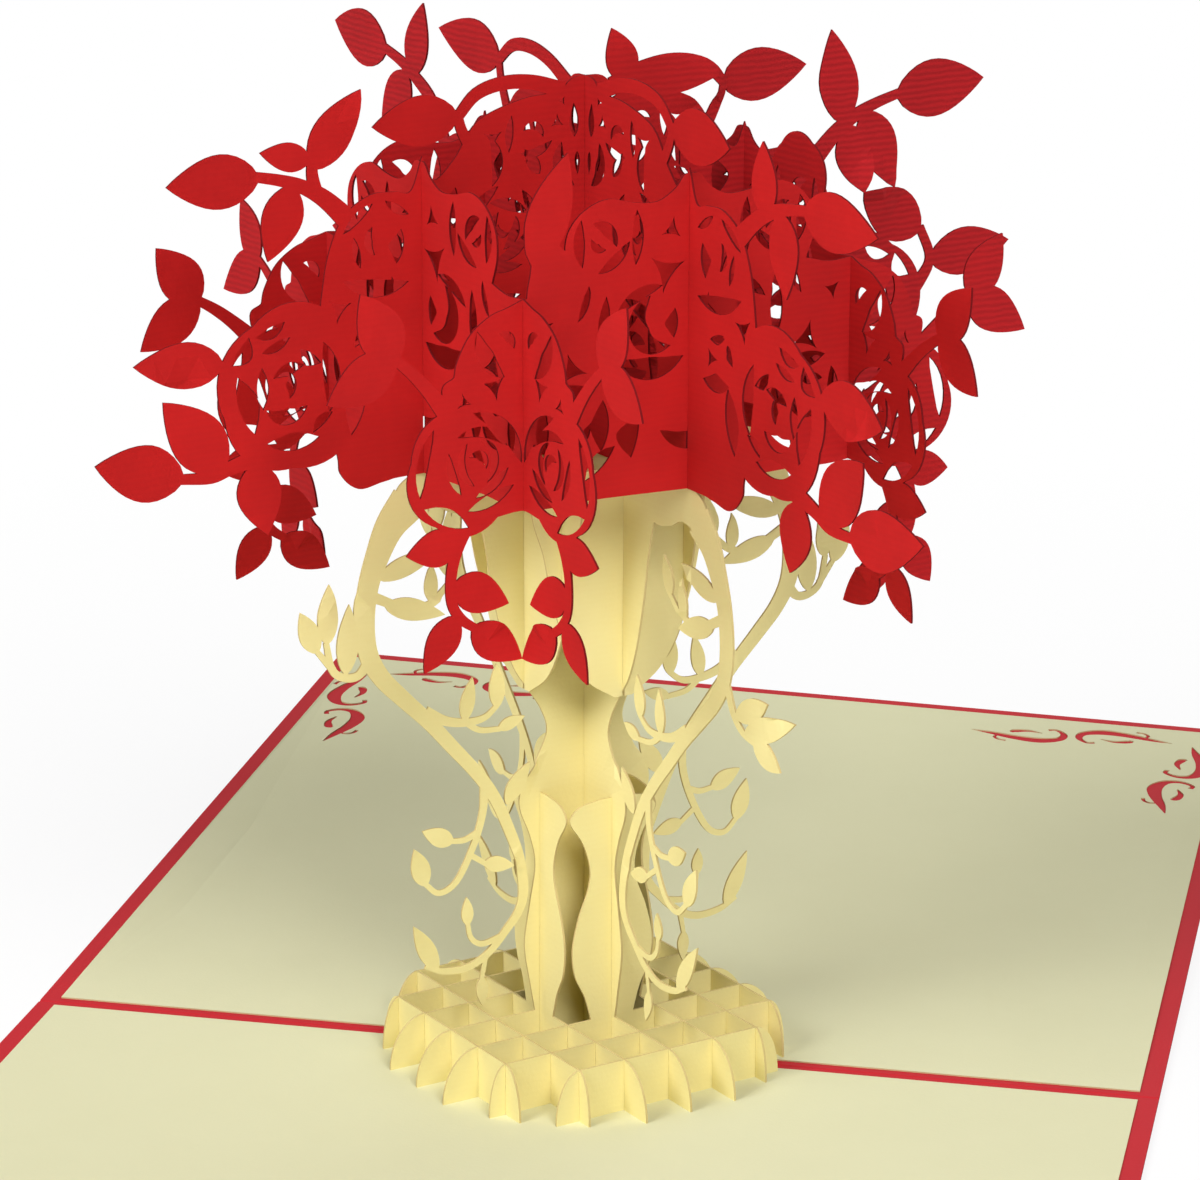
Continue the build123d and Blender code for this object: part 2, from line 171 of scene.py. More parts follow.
# Vines as (u, z, width) and leaves as (base u, base z, tip u, tip z, half width);
# z is the drop below the rim for the high ones, the height for the low ones
VINE_HIGH = [(26.9, 3.7, 5.6), (29.6, 6.5, 4.4), (31.5, 10.2, 3.5), (32.9, 14.1, 3.0), (33.5, 18.7, 2.9),
             (33.0, 23.1, 2.7), (31.1, 26.6, 2.4), (28.0, 29.9, 2.2), (24.2, 33.7, 2.0), (20.6, 37.8, 1.9)]
VINE_LOW = [(17.2, 43.0, 1.8), (14.2, 38.8, 1.7), (11.9, 33.8, 1.6), (10.3, 29.4, 1.5), (9.7, 24.8, 1.5),
            (10.4, 22.0, 1.3), (12.4, 19.6, 1.2), (15.2, 16.9, 1.1), (18.4, 15.5, 1.0), (22.1, 15.7, 0.9),
            (25.0, 16.9, 0.5)]
SHOOTS_HIGH = [[(24.6, 32.3, 1.6), (21.5, 34.1, 1.3), (18.4, 34.8, 1.1), (15.6, 34.6, 0.9),
                (13.6, 33.2, 0.7)],
               [(18.6, 34.7, 0.9), (16.4, 36.2, 0.8), (13.2, 36.6, 0.7)],
               [(31.9, 15.7, 1.4), (27.2, 17.8, 1.1), (23.5, 17.5, 1.0), (20.4, 14.9, 0.7)]]
SHOOTS_LOW = [[(15.7, 41.2, 1.3), (16.0, 36.8, 1.1), (17.6, 32.2, 1.0), (20.1, 28.0, 0.9), (22.8, 26.9, 0.8),
               (24.9, 28.6, 0.7)],
              [(17.0, 34.2, 0.9), (18.8, 33.6, 0.8), (20.9, 33.8, 0.7)],
              [(18.0, 31.4, 0.8), (15.5, 29.6, 0.7)],
              [(13.4, 18.8, 0.9), (16.2, 18.4, 0.8), (17.9, 19.6, 0.7), (18.4, 21.9, 0.6)],
              [(15.6, 16.8, 0.8), (16.3, 13.2, 0.6)]]
LEAVES_HIGH = [(18.7, 34.7, 17.7, 28.6, 1.1), (13.7, 33.7, 13.6, 27.6, 1.2), (13.6, 36.6, 9.6, 35.3, 0.9),
               (20.6, 15.4, 19.6, 9.9, 1.1), (31.6, 13.3, 22.4, 10.5, 1.4), (23.7, 17.7, 23.4, 12.3, 1.0),
               (30.6, 16.9, 21.9, 19.3, 1.5)]
LEAVES_LOW = [(24.7, 28.2, 26.7, 33.9, 1.4), (20.5, 33.6, 25.1, 35.9, 1.3), (15.9, 29.8, 11.3, 28.7, 1.1),
              (18.4, 21.4, 18.4, 25.4, 0.9), (23.0, 16.0, 27.0, 23.2, 1.3), (16.3, 13.7, 16.0, 9.4, 0.9),
              (12.4, 37.4, 8.9, 42.9, 1.3)]

# Shoot on the outside of a handle: stems and leaves by their drop below the rim
RISING = ([[(33.0, 24.1, 1.5), (34.6, 25.7, 1.2), (36.7, 25.6, 1.1), (38.4, 24.2, 1.0), (39.2, 20.5, 0.8)],
           [(38.2, 24.4, 1.0), (40.6, 21.4, 0.7)]],
          [(39.1, 20.9, 38.4, 13.0, 1.6), (40.4, 21.8, 43.1, 15.8, 1.5), (36.4, 25.4, 35.5, 16.1, 1.6)])
DROOPING = ([[(33.0, 22.6, 1.6), (34.0, 24.6, 1.3), (35.2, 27.1, 1.2), (37.2, 29.0, 1.0), (40.2, 29.9, 0.7)]],
            [(35.6, 27.4, 43.5, 23.6, 1.6), (37.6, 29.2, 47.9, 25.2, 1.7), (39.6, 29.9, 46.3, 31.8, 1.6)])

# Bouquet: half outlines as (u, z above the rim), roses as (u, z, radius, turn),
# crescent openings as (u, z, radius, start, span, thickness), gaps between
# petals as (u, z, size, turn), slim openings drawn as leaves. A middle slice has
# a rose at each end, and hidden ones that are drawn by rule
MID_DOME = [(0, 0), (0, 0), (25.6, 0), (30.4, -0.3), (34.3, -0.8), (36.9, 1.5), (37.6, 4.8), (42.0, 14.3),
            (39.8, 21.4), (39.2, 24.8), (38.2, 29.8), (36.0, 34.4), (32.2, 36.8), (28.6, 36.9), (26.2, 36.8),
            (24.6, 41.0), (24.6, 41.0), (22.9, 37.8), (19.8, 40.3), (16.4, 44.7), (10.0, 46.9), (4.6, 47.5),
            (2.2, 49.0), (0, 49.2), (0, 49.2)]
MID_END = (43.3, 13.5, 11.0, 200)
MID_ROSES = [(12.4, 14.6, 8.6, 20), (12.8, 30.4, 6.6, 120)]
MID_ARCS = [(31.0, 30.4, 3.7, 152, 74, 1.5), (31.0, 30.4, 6.7, 230, 92, 1.5),
            (31.2, 31.0, 1.9, -80, 150, 0.8), (31.0, 30.4, 5.4, 20, 62, 0.8),
            (31.0, 30.4, 3.8, -46, 66, 0.7), (31.0, 30.4, 5.6, 100, 42, 0.7),
            (31.7, 17.9, 3.2, 70, 62, 0.8), (31.7, 17.9, 2.9, -5, 55, 0.8),
            (31.0, 17.6, 3.9, 222, 96, 1.6), (43.0, 14.0, 6.3, 128, 95, 1.6),
            (43.4, 13.8, 4.7, 102, 46, 1.1), (43.6, 14.0, 2.9, 22, 105, 1.1),
            (44.4, 11.9, 3.0, 195, 150, 1.4), (41.0, 11.9, 8.0, 158, 66, 1.9),
            (43.0, 13.0, 6.0, 212, 36, 0.9), (43.6, 11.6, 6.1, 232, 76, 1.5),
            (43.8, 14.0, 7.7, -48, 62, 1.9), (43.6, 13.6, 9.3, 24, 26, 1.4),
            (43.6, 13.6, 8.6, 54, 30, 1.0), (45.0, 14.0, 2.0, 120, 120, 1.0),
            (43.6, 14.0, 5.0, -34, 66, 1.1), (43.6, 13.8, 6.3, 48, 40, 0.8),
            (2.1, 38.3, 3.2, -92, 148, 1.4), (8.2, 42.3, 1.6, 20, 180, 0.7),
            (8.2, 42.3, 3.0, 200, 110, 0.8), (8.2, 42.3, 4.2, -30, 70, 0.8),
            (26.0, 34.3, 6.7, 160, 46, 1.8), (16.4, 39.2, 3.7, 118, 118, 1.1)]
MID_GAPS = [(36.8, 22.8, 2.0, 40), (29.9, 17.9, 1.5, 0), (29.0, 25.3, 1.0, 80), (4.6, 43.6, 1.1, 90),
            (3.8, 46.2, 0.7, 0), (14.2, 42.3, 1.6, 30), (22.0, 25.4, 1.5, 90), (5.2, 26.2, 1.4, 30)]
MID_SLIMS = [(30.2, 20.3, 32.6, 21.2, 0.4), (33.4, 20.2, 34.1, 18.3, 0.5), (1.6, 39.5, 1.5, 36.5, 0.4),
             (2.0, 41.4, 2.1, 45.8, 0.7), (7.2, 37.1, 9.5, 40.5, 0.9), (37.0, 15.0, 38.4, 11.8, 0.5)]

# Sprays of leaves: (where it grows out, stems, leaves). Stems and leaves have the
# form of the vines and their leaves, with z above the rim
LOW = ((43.0, 5.5),
       [[(43.0, 5.5, 3.0), (48.3, 5.3, 2.4), (52.3, 4.5, 1.9), (55.2, 3.6, 1.6), (59.4, 3.9, 1.3)]],
       [(58.8, 3.8, 71.5, 7.4, 3.6), (53.2, 4.2, 61.3, 13.8, 3.6), (49.2, 4.7, 47.8, -4.7, 3.1)])
BESIDE = ((53.0, 17.7), [], [(53.0, 17.7, 65.2, 18.7, 3.0)])
REACHING = ((50.0, 12.6),
            [[(50.0, 12.6, 2.8), (53.8, 16.2, 2.0), (55.6, 19.4, 1.5), (53.8, 23.8, 1.3)]],
            [(55.4, 19.2, 69.7, 20.3, 3.3), (54.0, 23.2, 43.1, 29.9, 3.6)])
UPPER = ((34.0, 32.7),
         [[(34.0, 32.7, 3.0), (38.6, 37.3, 2.3), (42.2, 39.6, 1.8), (45.4, 40.8, 1.5), (49.0, 41.7, 1.3)]],
         [(48.4, 41.5, 63.0, 42.2, 3.7), (43.6, 40.1, 47.6, 29.9, 3.1), (40.4, 38.5, 38.9, 50.7, 2.9)])
FORKED = (UPPER[0], UPPER[1] + [[(40.0, 38.0, 1.9), (40.6, 41.0, 1.6), (40.4, 43.6, 1.4)]],
          UPPER[2][:2] + [(40.8, 41.6, 33.2, 51.9, 3.0), (40.7, 43.0, 48.2, 44.8, 2.0)])
SHORT = (UPPER[0], UPPER[1], UPPER[2][:2] + [(40.9, 38.4, 38.2, 47.6, 2.7)])
PAIRED = (UPPER[0], UPPER[1], UPPER[2] + [(41.2, 38.6, 42.6, 29.8, 2.7)])
STEEP = ((34.0, 32.7),
         [[(34.0, 33.0, 3.0), (38.0, 39.8, 2.4), (43.4, 43.2, 1.9), (47.0, 44.7, 1.6), (51.0, 45.8, 1.4)]],
         [(50.4, 45.6, 66.5, 47.7, 3.9), (44.8, 43.4, 50.9, 34.6, 3.3), (43.6, 42.9, 41.5, 53.2, 3.0)])
TOP = ((3.6, 47.5),
       [[(3.6, 47.5, 2.2), (8.4, 49.6, 1.9), (13.2, 50.4, 1.8), (17.6, 49.7, 1.7), (20.9, 47.1, 1.5)],
        [(20.9, 47.5, 1.4), (20.2, 44.6, 1.5), (18.0, 40.2, 1.8)]],
       [(20.5, 47.2, 34.8, 48.7, 3.5)])
BROAD_TOP = (TOP[0], TOP[1], TOP[2] + [(6.6, 48.4, 19.6, 48.2, 2.4), (6.4, 47.7, 3.7, 54.85, 2.4)])
PAIR = ((34.6, 12.9),
        [[(34.6, 12.9, 2.6), (38.5, 16.5, 1.8), (41.2, 18.6, 1.5), (44.0, 20.3, 1.2)]],
        [(43.5, 19.8, 49.3, 27.5, 3.0), (43.4, 20.2, 52.5, 14.5, 2.9)])
HANGING = ((32.4, 0.9),
           [[(32.4, 0.9, 2.4), (34.3, -3.2, 1.7), (35.1, -6.5, 1.5), (35.0, -9.8, 1.4), (33.6, -12.1, 1.3),
             (31.2, -13.8, 1.1)]],
           [(33.8, -2.1, 41.2, -3.0, 2.4), (34.9, -7.4, 27.2, -10.8, 2.6), (34.2, -11.4, 38.8, -18.3, 2.3),
            (32.2, -13.3, 25.3, -18.3, 2.5)])
STANDING = ((22.8, 26.0), [[(20.2, 25.6, 8.2), (20.6, 30.0, 6.6), (22.2, 34.0, 2.6)]],
            [(23.4, 31.0, 17.8, 44.4, 3.1)])

# Sprays at the two ends of each bouquet slice: (spray, scale, turn in degrees).
# An end that isn't listed has the outer pair
OUTER = [(PAIR, 1.0, 0), (HANGING, 1.0, 0)]
CORNER = [(PAIR, 1.03, 9.5), (HANGING, 1.0, 0)]
SPRAYS = {("p_mid", 1): [(REACHING, 1.0, 0), (PAIRED, 1.06, 1.0), (BROAD_TOP, 1.0, -2.0)],
          ("p_mid", -1): [(LOW, 1.0, 0), (BESIDE, 1.0, 0), (FORKED, 0.92, -1.5), (TOP, 0.92, -6.2)],
          ("q_mid", 1): [(LOW, 1.06, -7.0), (BESIDE, 1.15, -9.0), (SHORT, 0.97, -6.6), (TOP, 1.0, -6.8)],
          ("q_mid", -1): [(LOW, 1.0, 0), (BESIDE, 1.0, 0), (STEEP, 1.0, 0), (TOP, 1.0, 4.0)],
          ("p_front", -1): CORNER + [(STANDING, 1.0, 0)], ("q_front", 1): CORNER}

# Outer slices: a rose at each end, a higher rose on the back one of family q,
# and a smile-shaped opening across the axis
SIDE_DOME = [(0, 0), (0, 0), (14.6, 0.5), (21.0, 0.3), (25.2, 0.6), (32.0, 1.3), (35.0, 12.3), (36.2, 17.2),
             (34.5, 18.6), (34.5, 18.6), (34.0, 20.6), (32.2, 23.6), (29.4, 25.6), (26.8, 26.4), (24.6, 27.2),
             (24.6, 27.2), (21.0, 27.0), (17.4, 27.8), (17.4, 27.8), (18.6, 31.2), (18.2, 34.6), (15.8, 37.2),
             (12.4, 38.3), (8.6, 37.5), (5.2, 37.3), (2.6, 38.6), (1.2, 40.2), (0, 40.4), (0, 40.4)]
SIDE_END = (33.0, 6.8, 8.4, 230)
SIDE_ARCS = [(5.6, 21.8, 3.8, -130, 212, 1.9), (5.6, 21.8, 3.6, 150, 64, 1.3),
             (6.0, 20.6, 5.8, 214, 118, 1.9), (6.2, 21.6, 5.4, 22, 88, 1.1),
             (5.6, 21.8, 8.3, -28, 60, 1.2), (5.6, 21.8, 11.3, 8, 24, 0.7),
             (13.3, 33.2, 6.1, 146, 70, 1.1), (13.3, 33.2, 4.1, 186, 92, 1.0),
             (13.6, 33.1, 2.6, 66, 134, 1.1), (13.3, 33.2, 4.2, -48, 92, 1.1),
             (13.6, 33.1, 1.4, 230, 150, 0.7), (18.0, 10.0, 5.8, 147, 70, 1.8),
             (18.0, 10.0, 7.8, 128, 46, 1.0), (18.0, 10.0, 10.3, 178, 30, 2.1),
             (18.0, 10.0, 7.3, 204, 48, 1.3), (18.0, 10.0, 2.9, 38, 92, 1.1),
             (18.0, 10.0, 3.1, 172, 146, 1.2), (18.0, 10.0, 4.9, -42, 84, 1.2),
             (18.0, 10.0, 5.6, 62, 56, 1.3), (27.2, 22.2, 4.4, -88, 112, 1.5),
             (27.4, 22.0, 1.6, 60, 150, 0.8), (31.2, 7.6, 1.5, 30, 190, 0.8),
             (31.2, 7.6, 3.0, 95, 150, 0.8), (31.2, 7.6, 3.0, -80, 140, 0.8),
             (31.2, 7.6, 4.5, 50, 110, 0.9), (31.2, 7.6, 4.5, 195, 80, 0.9),
             (31.2, 7.6, 4.5, -58, 80, 0.8), (31.2, 7.6, 6.3, 84, 104, 1.3),
             (31.2, 7.6, 6.2, 214, 70, 1.1), (32.8, 7.0, 7.2, -24, 74, 1.1),
             (32.8, 6.8, 7.3, -92, 58, 1.4)]
CROWN = (12.9, 35.4, 6.1, 62)
SIDE_SMILE = (0, 10.3, 5.1, 205, 130, 1.5)
SIDE_GAPS = [(17.7, 17.4, 2.4, 75), (3.8, 28.4, 3.0, 40), (3.0, 33.6, 1.7, 100), (28.8, 16.8, 1.9, 20),
             (33.2, 15.4, 1.2, 200), (15.5, 26.6, 0.6, 0), (21.6, 23.3, 1.4, 40)]

# Openings that draw a hidden rose: (share of its radius, start, span, thickness share)
ROSE = [(0.87, 0, 88, 0.17), (0.85, 118, 74, 0.15), (0.87, 232, 92, 0.18), (0.63, 62, 104, 0.16),
        (0.61, 190, 88, 0.14), (0.63, 302, 92, 0.16), (0.39, 20, 128, 0.15), (0.37, 196, 120, 0.14),
        (0.16, 80, 210, 0.13)]

# Scrolls cut through the back liner as pairs: (inset from its side edge, inset
# from its back edge, turn, handed). Strokes as (x, y, width) about the pair's middle
SCROLLS = [(5.6, 24.7, 0, 1), (24.9, 7.9, 90, -1)]
STROKES = [[(-0.8, -16.7, 0.2), (-1.7, -13.1, 1.4), (-3.0, -8.9, 2.1), (-3.4, -4.9, 2.5), (-2.0, -1.9, 1.8),
            (0.4, -1.3, 1.2), (2.4, -2.7, 0.8), (2.2, -4.1, 0.9)],
           [(-2.2, -11.9, 0.5), (-3.4, -12.5, 0.6), (-4.5, -11.8, 0.6), (-4.9, -10.4, 0.7)],
           [(0.2, -4.9, 0.3), (0.9, -7.3, 1.0), (0.3, -9.5, 1.5), (-0.5, -10.0, 0.6)]]


# Outlines

def sided(pts, side):
    """The points as they are for side 1, mirrored across the axis for side -1."""
    return [(side * u, z) for u, z in pts]


def sided_leaves(leaves, side):
    """The leaves as they are for side 1, mirrored across the axis for side -1."""
    return [(side * bu, bz, side * tu, tz, half) for bu, bz, tu, tz, half in leaves]


def mirrored(half):
    """Closed outline from the half of it at positive u."""
    return half + sided(half[::-1], -1)


def both(shapes):
    """Each outline and its mirror image across the axis."""
    return shapes + [sided(pts, -1) for pts in shapes]


def hung(path):
    """Points given by their drop below the rim, as heights."""
    return [(u, RIM - drop, *width) for u, drop, *width in path]


def hung_leaf(base_u, base_drop, tip_u, tip_drop, half):
    """A leaf given by drops below the rim, as heights."""
    return base_u, RIM - base_drop, tip_u, RIM - tip_drop, half


def curve(points, steps=CURVE_STEPS):
    """Smooth curve through the points, with a corner at each repeated point."""
    runs, run = [], [points[0]]
    for point in points[1:]:
        if point == run[-1]:
            if len(run) > 1:
                runs.append(run)
            run = [point]
        else:
            run.append(point)
    if len(run) > 1:
        runs.append(run)
    out = []
    for run in runs:
        for k in range(len(run) - 1):
            b, c = Vector(run[k]), Vector(run[k + 1])
            a = Vector(run[k - 1]) if k else 2 * b - c
            d = Vector(run[k + 2]) if k + 2 < len(run) else 2 * c - b
            for s in range(steps):
                t = s / steps
                p = 0.5 * (2 * b + (c - a) * t + (2 * a - 5 * b + 4 * c - d) * t ** 2
                           + (3 * b - a - 3 * c + d) * t ** 3)
                out.append(tuple(p))
    out.append(tuple(runs[-1][-1]))
    return out


def leaf(base_u, base_z, tip_u, tip_z, half):
    """Pointed leaf from base to tip, fullest nearer the base."""
    base, along = Vector((base_u, base_z)), Vector((tip_u - base_u, tip_z - base_z))
    across = Vector((-along.y, along.x)).normalized()
    stations = [k / LEAF_STEPS for k in range(1, LEAF_STEPS)]
    rim = [(t, half * math.sin(math.pi * t ** LEAF_BELLY) ** LEAF_ROUND) for t in stations]
    near = [tuple(base + along * t + across * w) for t, w in rim]
    far = [tuple(base + along * t - across * w) for t, w in reversed(rim)]
    return [tuple(base)] + near + [(tip_u, tip_z)] + far


def ribbon(path):
    """Smooth strip of changing width along a path of (u, z, width) points."""
    path = curve(path, STEM_STEPS)
    left, right = [], []
    for k, (u, z, w) in enumerate(path):
        u0, z0, _ = path[max(k - 1, 0)]
        u1, z1, _ = path[min(k + 1, len(path) - 1)]
        length = math.hypot(u1 - u0, z1 - z0)
        nu, nz = -(z1 - z0) / length * w / 2, (u1 - u0) / length * w / 2
        left.append((u + nu, z + nz))
        right.append((u - nu, z - nz))
    return left + right[::-1]


def flower(u, z, r, turn):
    """Scalloped outline of a rose."""
    out = []
    for k in range(FLOWER_STEPS):
        a = 2 * math.pi * k / FLOWER_STEPS
        reach = r * (PETAL_LOW + PETAL_RISE * abs(math.sin(PETALS / 2 * a)))
        way = a + math.radians(turn)
        out.append((u + reach * math.cos(way), z + reach * math.sin(way)))
    return out


def crescent(u, z, r, start, span, thick):
    """Crescent opening, pointed at both ends."""
    steps = max(ARC_LEAST, int(span / ARC_STEP))
    outer, inner = [], []
    for k in range(steps + 1):
        a = math.radians(start + span * k / steps)
        outer.append((u + r * math.cos(a), z + r * math.sin(a)))
        if 0 < k < steps:
            inside = r - FULLER * thick * math.sin(math.pi * k / steps) ** ARC_BLUNT
            inner.append((u + inside * math.cos(a), z + inside * math.sin(a)))
    return outer + inner[::-1]


def petals(u, z, r, turn):
    """The openings that draw one rose."""
    return [crescent(u, z, share * r, turn + start, span, thick * r) for share, start, span, thick in ROSE]


def gap(u, z, size, turn):
    """Opening with three hollow sides where petals meet."""
    c, s = math.cos(math.radians(turn)), math.sin(math.radians(turn))
    out = []
    for k in range(GAP_STEPS):
        a = 2 * math.pi * k / GAP_STEPS
        x = size * (2 * math.cos(a) + math.cos(2 * a)) / 3
        y = size * (2 * math.sin(a) - math.sin(2 * a)) / 3
        out.append((u + c * x - s * y, z + s * x + c * y))
    return out


def slit(u, low, high):
    """Slot for a crossing sheet."""
    return [(u - SLOT / 2, low), (u + SLOT / 2, low), (u + SLOT / 2, high), (u - SLOT / 2, high)]


# Slices: each gives its outlines to join, its outlines to cut and its leaves

def crossings(k):
    """Numbers of the base slices that cross base slice k."""
    return [m for m in range(-RINGS, RINGS + 1) if math.hypot(k, m) * PITCH <= BASE_R - BASE_END]


def base_outline(k):
    """Base strip of slice k, round in plan, with rounded ends."""
    last = crossings(k)[-1]
    half = min(math.sqrt(BASE_R ** 2 - (k * PITCH) ** 2), (last + 1) * PITCH - BASE_END)
    shoulder = last * PITCH
    turns = [math.pi / 2 * t / ROUND_STEPS for t in range(ROUND_STEPS + 1)]
    return mirrored([(shoulder + (half - shoulder) * math.cos(a), BASE_H * math.sin(a)) for a in turns])


def base_slits(k, top, skip=()):
    """Half slots of base slice k, open at the top or at the bottom."""
    span = (BASE_H / 2, BASE_H + OVER) if top else (-OVER, BASE_H / 2)
    return [slit(m * PITCH, *span) for m in crossings(k) if m not in skip]


def base_slice(k, top):
    """A slice of the base alone."""
    return [base_outline(k)], base_slits(k, top), []


def body_slice(top):
    """A slice of the base and the lower vase."""
    body = mirrored(curve([(share * PITCH, z) for share, z in SIDE_BODY]))
    return [base_outline(1), body], base_slits(1, top, (0,)) + [slit(0, BODY_LAP, BODY_TOP + OVER)], []


def vase_slice(top):
    """A middle slice: base, vase, handles with vines, tongues for the bouquet."""
    wall = curve([(PITCH + beyond, z) for beyond, z in MID_BODY] + hung(NECK + BOWL[1:]))
    body = mirrored(wall[:-1] + curve(hung(ARCH)))
    tongue = [(TONGUE_IN, RIM - OVER), (TONGUE_OUT, RIM - OVER), (TONGUE_OUT, RIM + TONGUE_H),
              (TONGUE_IN, RIM + TONGUE_H)]
    shapes, blades = [base_outline(0), body], []
    for side, (shoots, shoot_leaves) in ((1, RISING if top else DROOPING), (-1, RISING)):
        vines = [hung(VINE_HIGH) + VINE_LOW] + [hung(path) for path in SHOOTS_HIGH + shoots] + SHOOTS_LOW
        leaves = [hung_leaf(*size) for size in LEAVES_HIGH + shoot_leaves] + LEAVES_LOW
        for pts in [tongue] + [ribbon(path) for path in vines] + [leaf(*size) for size in leaves]:
            shapes.append(sided(pts, side))
        blades += sided_leaves(leaves, side)
    cuts = base_slits(0, top, (-1, 0, 1))
    for m in (-1, 1):
        cuts.append(slit(m * PITCH, -OVER, BODY_LAP))
        cuts.append(slit(m * BOWL_OFF, RIM - BOWL_LAP, RIM + OVER))
    cuts.append(slit(0, VASE_LAP, RIM + OVER) if top else slit(0, -OVER, VASE_LAP))
    return shapes, cuts, blades


def bowl_slice(top):
    """A slice of the bowl beside the middle."""
    wall = [(r, drop) for r, drop in BOWL if r > BOWL_OFF] + [(BOWL_R, BOWL_DROP)]
    body = mirrored(curve(hung([(math.sqrt(r * r - BOWL_OFF ** 2), drop) for r, drop in wall])))
    foot = RIM - wall[0][1] - OVER
    cross = (RIM - BOWL_CROSS, RIM) if top else (foot, RIM - BOWL_CROSS)
    return [body], [slit(0, foot, RIM - BOWL_LAP)] + [slit(m * BOWL_OFF, *cross) for m in (-1, 1)], []


def spun(u, z, root, size, turn):
    """A point scaled and turned about the place where a spray grows out."""
    c, s = size * math.cos(math.radians(turn)), size * math.sin(math.radians(turn))
    du, dz = u - root[0], z - root[1]
    return root[0] + c * du - s * dz, root[1] + s * du + c * dz


def spray(plant, size, turn):
    """Stems and leaves of a spray, scaled and turned where it grows out."""
    root, stems, leaves = plant
    place = (root, size, turn)
    stems = [[(*spun(u, z, *place), w) for u, z, w in path] for path in stems]
    leaves = [(*spun(bu, bz, *place), *spun(tu, tz, *place), half * size) for bu, bz, tu, tz, half in leaves]
    return stems, leaves


def grown(name):
    """Outlines of the sprays at both ends of a bouquet slice, and their leaves."""
    shapes, leaves = [], []
    for side in (1, -1):
        for plant, size, turn in SPRAYS.get((name, side), OUTER):
            stems, blades = spray(plant, size, turn)
            shapes += [sided(ribbon(path), side) for path in stems]
            leaves += sided_leaves(blades, side)
    return shapes + [leaf(*size) for size in leaves], leaves


def rose_mid_slice(name, top, axis):
    """A middle bouquet slice; axis is where the other middle slice crosses it."""
    sprays, leaves = grown(name)
    shapes = [mirrored(curve(MID_DOME))] + both([flower(*MID_END)]) + sprays
    drawn = [c for rose in MID_ROSES for c in petals(*rose)] + [crescent(*arc) for arc in MID_ARCS]
    drawn += [gap(*place) for place in MID_GAPS] + [leaf(*slim) for slim in MID_SLIMS]
    cuts = both(drawn) + [slit(m * ROSE_OFF, -OVER, SIDE_LAP) for m in (-1, 1)]
    cuts.append(slit(axis, ROSE_LAP, MID_DOME[-1][1] + OVER) if top else slit(axis, -OVER, ROSE_LAP))
    return shapes, cuts, leaves


def rose_side_slice(name, top, axis):
    """An outer bouquet slice; axis is where the middle slice crosses it."""
    sprays, leaves = grown(name)
    drawn = [crescent(*arc) for arc in SIDE_ARCS] + [gap(*place) for place in SIDE_GAPS]
    high = SIDE_DOME[-1][1] + OVER
    low = min(z for _, z in SIDE_DOME) - OVER
    cross = (SIDE_CROSS, high) if top else (low, SIDE_CROSS)
    cuts = both(drawn) + [slit(m * ROSE_OFF, *cross) for m in (-1, 1)]
    cuts += [crescent(*SIDE_SMILE), slit(axis, SIDE_LAP, high)]
    shapes = [mirrored(curve(SIDE_DOME))] + both([flower(*SIDE_END)])
    if name == "q_back":
        shapes.append(flower(*CROWN))
    return shapes + sprays, cuts, leaves


def scroll_pair(inset_x, inset_y, turn, hand):
    """Two curled flourishes of the back liner, one turned half round from the other."""
    x, y = LINER_HIGH.x - inset_x, LINER_HIGH.y - inset_y
    strokes = []
    for way in (0, 180):
        c, s = math.cos(math.radians(turn + way)), math.sin(math.radians(turn + way))
        for stroke in STROKES:
            strokes.append([(x + c * a - s * b * hand, y + s * a + c * b * hand, w) for a, b, w in stroke])
    return [ribbon(stroke) for stroke in strokes]


# Meshes

def counter_clockwise(pts):
    """The outline turned so that it runs counter-clockwise."""
    area = sum(a[0] * b[1] - b[0] * a[1] for a, b in zip(pts, pts[1:] + pts[:1]))
    return pts if area > 0 else pts[::-1]


def flat_faces(adds, cuts, step):
    """Points and triangles of the outlines joined, less those cut.

    A step adds points at that spacing, in staggered rows."""
    points, faces = [], []
    for pts in adds + cuts:
        faces.append(list(range(len(points), len(points) + len(pts))))
        points += [Vector(p) for p in counter_clockwise(pts)]
    if step:
        low_u, high_u = min(p.x for p in points), max(p.x for p in points)
        low_z, high_z = min(p.y for p in points), max(p.y for p in points)
        for i in range(1, int((high_u - low_u) / step)):
            for j in range(1, int((high_z - low_z) / step)):
                points.append(Vector((low_u + (i + 0.5 * (j % 2)) * step, low_z + j * step)))
    verts, _, tris, _, _, made_of = delaunay_2d_cdt(points, [], faces, INSIDE, MERGE)
    kept = [tri for tri, ids in zip(tris, made_of)
            if ids and min(ids) < len(adds) and max(ids) < len(adds)]
    return verts, kept


